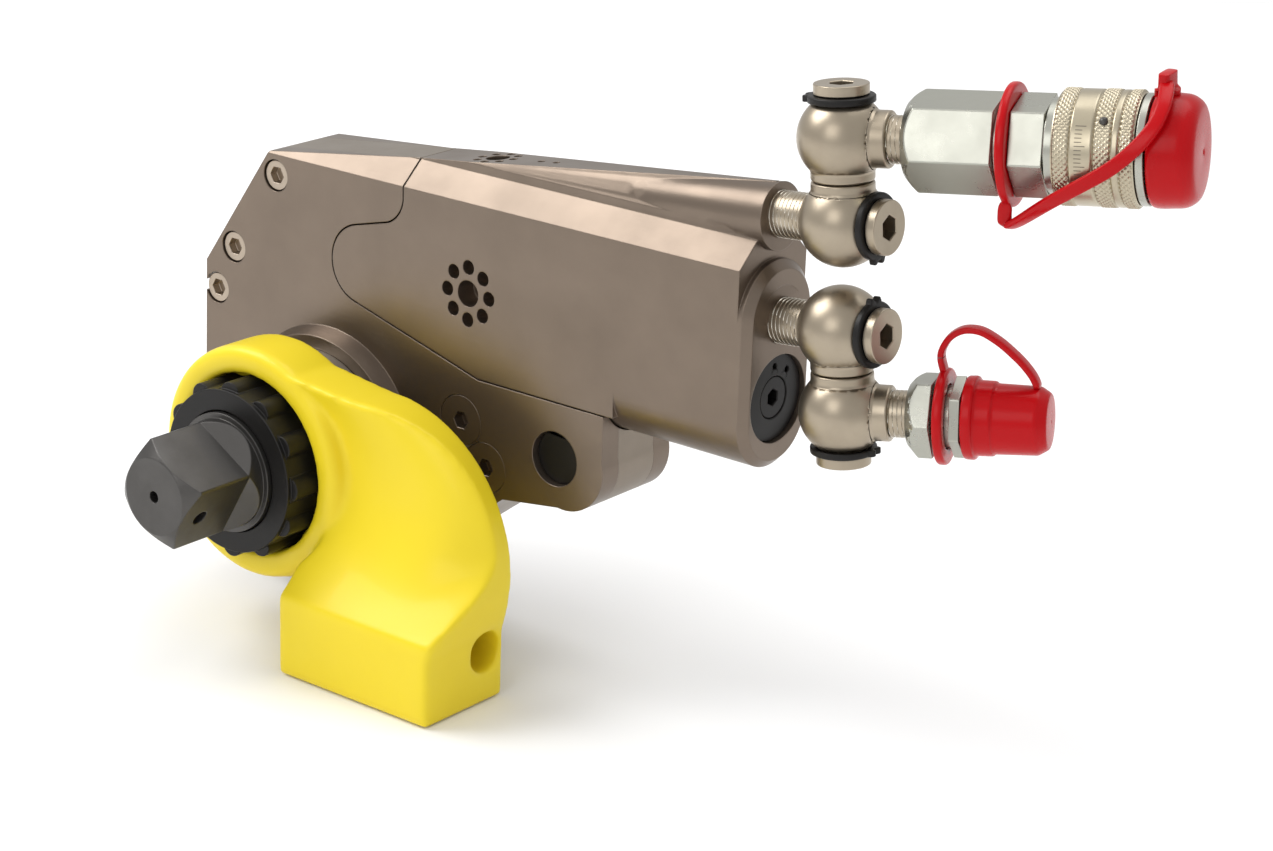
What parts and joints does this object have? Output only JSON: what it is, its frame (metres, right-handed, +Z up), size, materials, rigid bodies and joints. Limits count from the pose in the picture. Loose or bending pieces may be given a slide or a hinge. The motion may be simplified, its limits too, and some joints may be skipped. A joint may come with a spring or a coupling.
{
  "type": "hydraulic torque wrench",
  "caption": "Hydraulic torque wrench with a square drive, a yellow reaction arm on a splined boss, a ratchet driven by a piston, and swivelling hose couplings under red caps.",
  "frame": {"origin": "drive axis where it meets the outer face of the near side plate", "axes": "-Y along the square drive, away from the body; +X towards the hose couplings; +Z up"},
  "size_m": [0.3411, 0.1373, 0.2132],
  "materials": {
    "plate": "satin",
    "bright_steel": "satin",
    "black_steel": "satin",
    "dark_steel": "satin",
    "bronze": "satin",
    "seal": "matte",
    "yellow_paint": "gloss",
    "swivel_nickel": "satin",
    "zinc": "satin",
    "red_plastic": "gloss"
  },
  "bodies": {
    "housing": {"near_plate": "plate", "far_plate": "plate", "core_block": "plate", "cylinder_head": "plate", "nose_screws": "bright_steel", "pawl_pin": "plate", "anchor_pin": "plate", "tail_pin": "black_steel", "spline_ring": "black_steel", "spline_collar": "bright_steel", "drive_bush": "bronze", "tail_bush": "bronze", "gland": "bronze", "gland_seal": "seal", "end_cap": "black_steel", "end_plug": "black_steel", "upper_port_post": "swivel_nickel", "lower_port_post": "swivel_nickel", "port_rings": "black_steel", "holding_spring": "bright_steel"},
    "drive": {"drive_shaft": "dark_steel", "ratchet_wheel": "dark_steel", "shaft_clip": "black_steel"},
    "lever": {"lever_plates": "dark_steel", "lever_pin": "bright_steel", "pawl_pivot": "bright_steel", "pawl_spring": "bright_steel"},
    "drive_pawl_body": {"drive_pawl": "dark_steel"},
    "holding_pawl_body": {"holding_pawl": "dark_steel"},
    "piston_set": {"piston": "bright_steel", "piston_seal": "seal", "piston_rod": "bright_steel"},
    "arm": {"reaction_arm": "yellow_paint"},
    "upper_swivel": {"upper_ball_one": "swivel_nickel", "upper_post_two": "swivel_nickel", "upper_post_ring": "black_steel"},
    "upper_coupling": {"upper_ball_two": "swivel_nickel", "upper_nipple": "swivel_nickel", "upper_adapter": "zinc", "coupler_core": "zinc", "upper_strap": "red_plastic"},
    "sleeve": {"locking_sleeve": "zinc", "locking_ball": "dark_steel"},
    "upper_cap_body": {"upper_cap": "red_plastic"},
    "lower_swivel": {"lower_ball_one": "swivel_nickel", "lower_post_two": "swivel_nickel", "lower_post_ring": "black_steel"},
    "lower_coupling": {"lower_ball_two": "swivel_nickel", "lower_nipple": "swivel_nickel", "lower_coupler": "zinc", "lower_strap": "red_plastic"},
    "lower_cap_body": {"lower_cap": "red_plastic"}
  },
  "joints": [
    {"name": "drive_turn", "type": "hinge", "parent": "housing", "child": "drive", "pos_m": [0, 0, 0], "axis": [0, -1, 0], "continuous": true},
    {"name": "lever_swing", "type": "hinge", "parent": "housing", "child": "lever", "pos_m": [0, 0, 0], "axis": [0, -1, 0], "range_deg": [0, 30]},
    {"name": "piston_stroke", "type": "slide", "parent": "housing", "child": "piston_set", "axis": [-1, 0, 0], "range_m": [0, 0.0265]},
    {"name": "drive_pawl_drop", "type": "hinge", "parent": "lever", "child": "drive_pawl_body", "pos_m": [0.0078, 0, 0.03668], "axis": [0, -1, 0], "range_deg": [0, 15]},
    {"name": "holding_pawl_lift", "type": "hinge", "parent": "housing", "child": "holding_pawl_body", "pos_m": [0.0562, 0, 0.0189], "axis": [0, 1, 0], "range_deg": [0, 7]},
    {"name": "arm_pull_off", "type": "slide", "parent": "housing", "child": "arm", "axis": [0, -1, 0], "range_m": [0, 0.035]},
    {"name": "upper_roll", "type": "hinge", "parent": "housing", "child": "upper_swivel", "pos_m": [0.1846, 0.0165, 0.1057], "axis": [0.9962, 0, 0.0872], "range_deg": [-45, 90]},
    {"name": "upper_yaw", "type": "hinge", "parent": "upper_swivel", "child": "upper_coupling", "pos_m": [0.18249, 0.0165, 0.12986], "axis": [-0.0872, 0, 0.9962], "range_deg": [-75, 70]},
    {"name": "sleeve_pull", "type": "slide", "parent": "upper_coupling", "child": "sleeve", "axis": [-0.9527, -0.2924, -0.0833], "range_m": [0, 0.0025]},
    {"name": "upper_cap_pull", "type": "slide", "parent": "upper_coupling", "child": "upper_cap_body", "axis": [0.9527, 0.2924, 0.0833], "range_m": [0, 0.016], "deforming": ["upper_strap"]},
    {"name": "lower_roll", "type": "hinge", "parent": "housing", "child": "lower_swivel", "pos_m": [0.186, 0.0165, 0.074], "axis": [0.9962, 0, 0.0872], "range_deg": [-60, 45]},
    {"name": "lower_yaw", "type": "hinge", "parent": "lower_swivel", "child": "lower_coupling", "pos_m": [0.18811, 0.0165, 0.04984], "axis": [-0.0872, 0, 0.9962], "range_deg": [-60, 65]},
    {"name": "lower_cap_pull", "type": "slide", "parent": "lower_coupling", "child": "lower_cap_body", "axis": [0.93, 0.3584, 0.0814], "range_m": [0, 0.024], "deforming": ["lower_strap"]}
  ],
  "couplings": [
    {"joint": "piston_stroke", "follows": "lever_swing", "m_per_rad": 0.049656}
  ]
}
